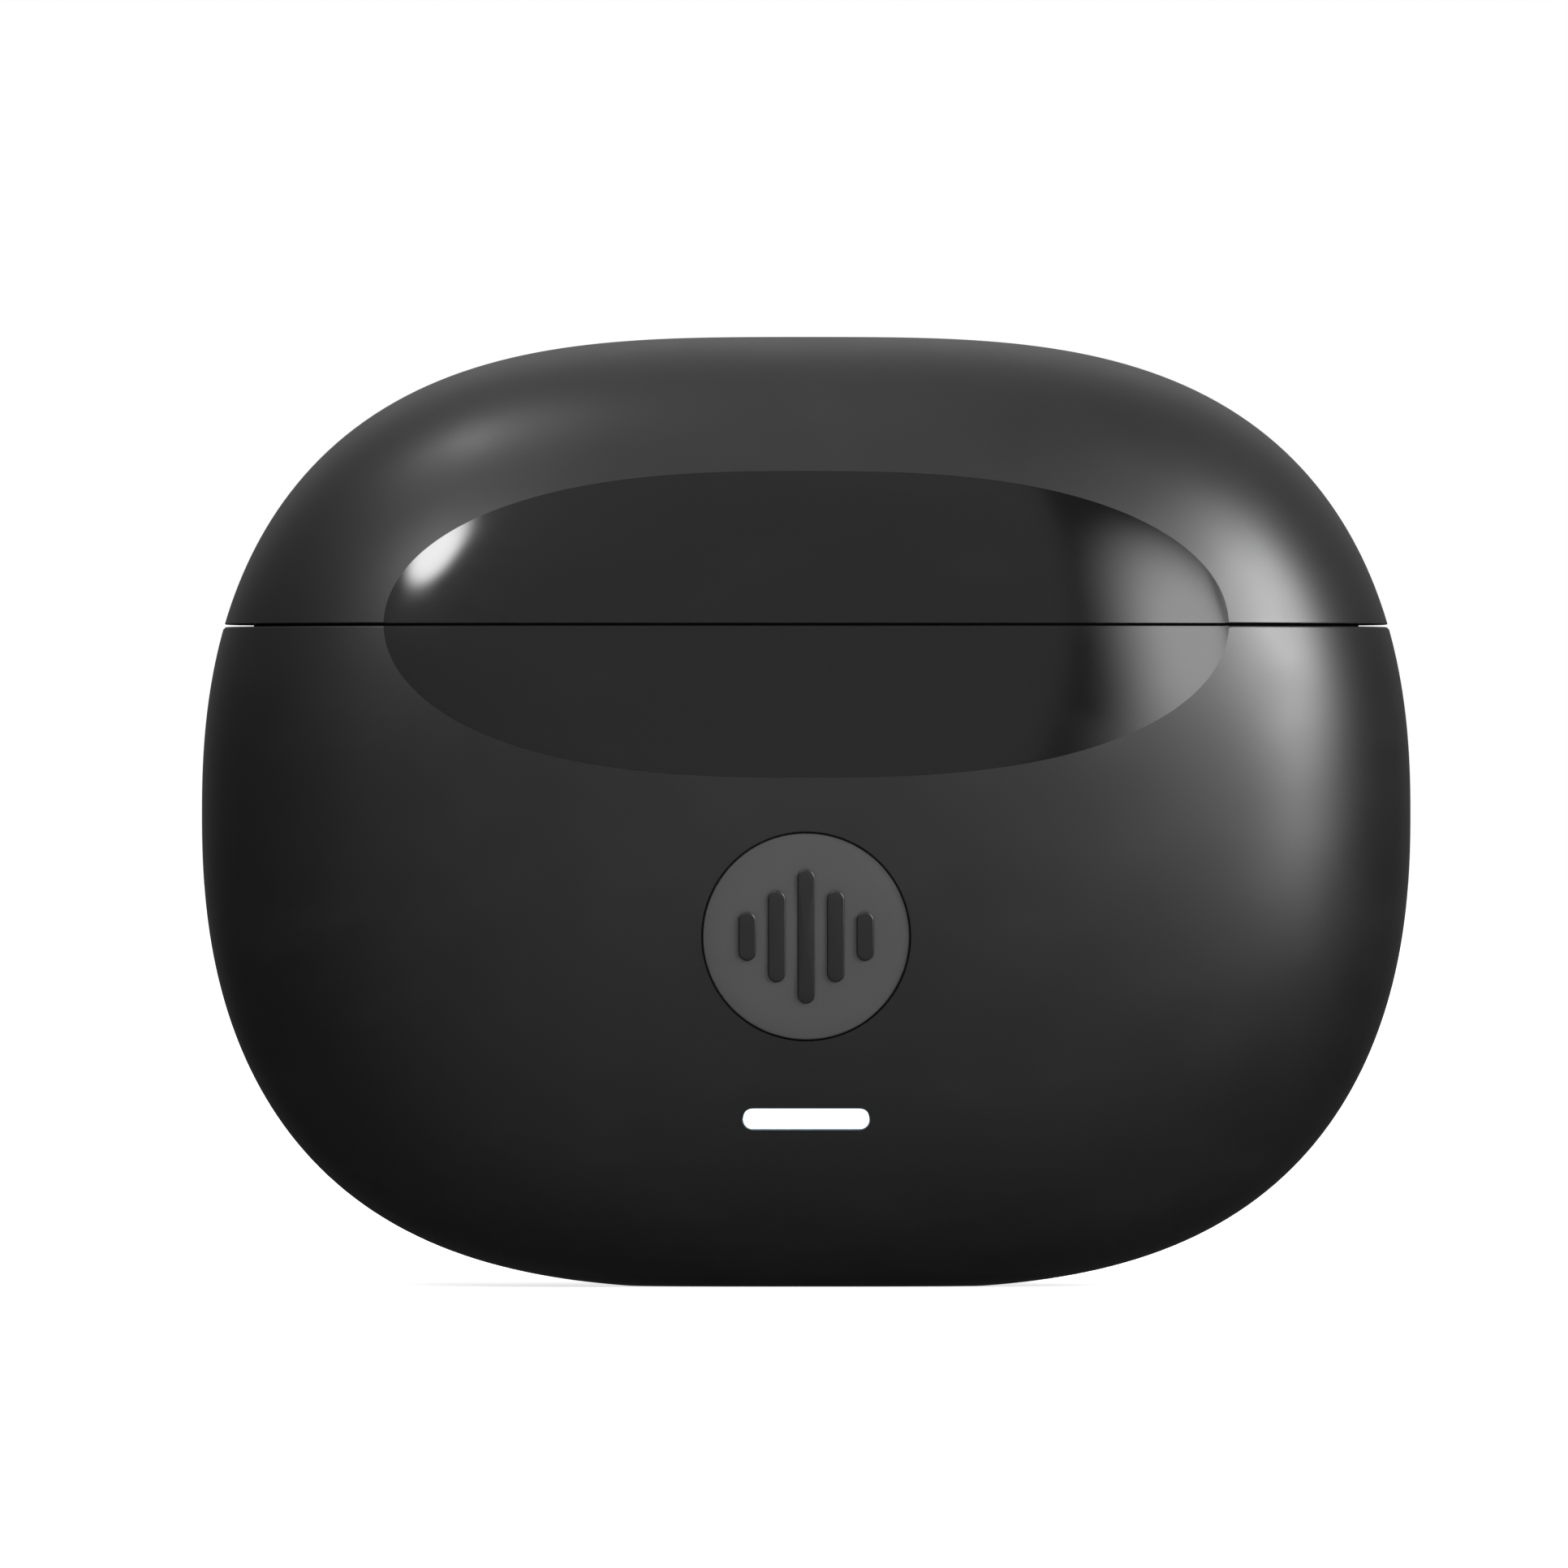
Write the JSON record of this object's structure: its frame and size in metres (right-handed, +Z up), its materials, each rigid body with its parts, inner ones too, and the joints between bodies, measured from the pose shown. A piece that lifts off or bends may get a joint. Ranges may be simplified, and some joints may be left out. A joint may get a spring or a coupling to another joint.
{
  "type": "wireless earbuds case",
  "caption": "Pocket charging case for wireless earbuds: pebble-shaped shell with a hinged lid, finger scoop, round badge and status light.",
  "frame": {"origin": "middle of the small flat foot under the case", "axes": "+X along the width, -Y towards the front face with the status light, +Z up"},
  "size_m": [0.06, 0.025, 0.0471],
  "materials": {
    "shell_gloss": "glossy black moulding",
    "tray_satin": "fine satin black",
    "badge_grey": "satin dark grey",
    "light_guide": "milky white diffuser",
    "board": "green solder mask",
    "chip": "moulded black",
    "cell": "silver pouch",
    "foam": "grey foam",
    "lead_red": "red sleeve",
    "lead_black": "black sleeve",
    "steel": "bright steel",
    "contact_gold": "gold plated",
    "flex": "amber film",
    "magnet": "nickel plated"
  },
  "bodies": {
    "base": {"base_shell": "shell_gloss", "inner_tray": "tray_satin", "badge_plate": "badge_grey", "led_light_guide": "light_guide", "led_left": "light_guide", "led_right": "light_guide", "main_board": "board", "usb_c_shell": "steel", "usb_c_tongue": "chip", "battery": "cell", "battery_foam": "foam", "battery_lead_red": "lead_red", "battery_lead_black": "lead_black", "battery_connector": "light_guide", "charge_controller": "chip", "power_inductor": "chip", "processor": "chip", "hall_sensor": "chip", "hinge_base_leaf": "steel", "hinge_pin": "steel", "base_leaf_screw_left": "steel", "board_screw_left": "steel", "bud_magnet_left": "magnet", "contact_board_left": "board", "contact_flex_left": "flex", "tray_catch_magnet_left": "magnet", "contact_barrel_left_inner": "contact_gold", "contact_barrel_left_outer": "contact_gold", "base_leaf_screw_right": "steel", "board_screw_right": "steel", "bud_magnet_right": "magnet", "contact_board_right": "board", "contact_flex_right": "flex", "tray_catch_magnet_right": "magnet", "contact_barrel_right_inner": "contact_gold", "contact_barrel_right_outer": "contact_gold"},
    "lid": {"lid_shell": "shell_gloss", "lid_liner": "tray_satin", "hinge_lid_leaf": "steel", "lid_sensor_magnet": "magnet", "lid_leaf_screw_left": "steel", "lid_leaf_screw_right": "steel", "lid_catch_magnet_left": "magnet", "lid_catch_magnet_right": "magnet"},
    "contact_plunger_left_inner": {"contact_plunger_left_inner": "contact_gold"},
    "contact_plunger_left_outer": {"contact_plunger_left_outer": "contact_gold"},
    "contact_plunger_right_inner": {"contact_plunger_right_inner": "contact_gold"},
    "contact_plunger_right_outer": {"contact_plunger_right_outer": "contact_gold"}
  },
  "joints": [
    {"name": "lid_hinge", "type": "hinge", "parent": "base", "child": "lid", "pos_m": [0, 0.01106, 0.03275], "axis": [-1, 0, 0], "range_deg": [0, 100]},
    {"name": "contact_press_left_inner", "type": "slide", "parent": "base", "child": "contact_plunger_left_inner", "axis": [0, 0, -1], "range_m": [0, 0.0006], "stiffness_N_per_m": 300, "springref_m": -0.0003},
    {"name": "contact_press_left_outer", "type": "slide", "parent": "base", "child": "contact_plunger_left_outer", "axis": [0, 0, -1], "range_m": [0, 0.0006], "stiffness_N_per_m": 300, "springref_m": -0.0003},
    {"name": "contact_press_right_inner", "type": "slide", "parent": "base", "child": "contact_plunger_right_inner", "axis": [0, 0, -1], "range_m": [0, 0.0006], "stiffness_N_per_m": 300, "springref_m": -0.0003},
    {"name": "contact_press_right_outer", "type": "slide", "parent": "base", "child": "contact_plunger_right_outer", "axis": [0, 0, -1], "range_m": [0, 0.0006], "stiffness_N_per_m": 300, "springref_m": -0.0003}
  ]
}
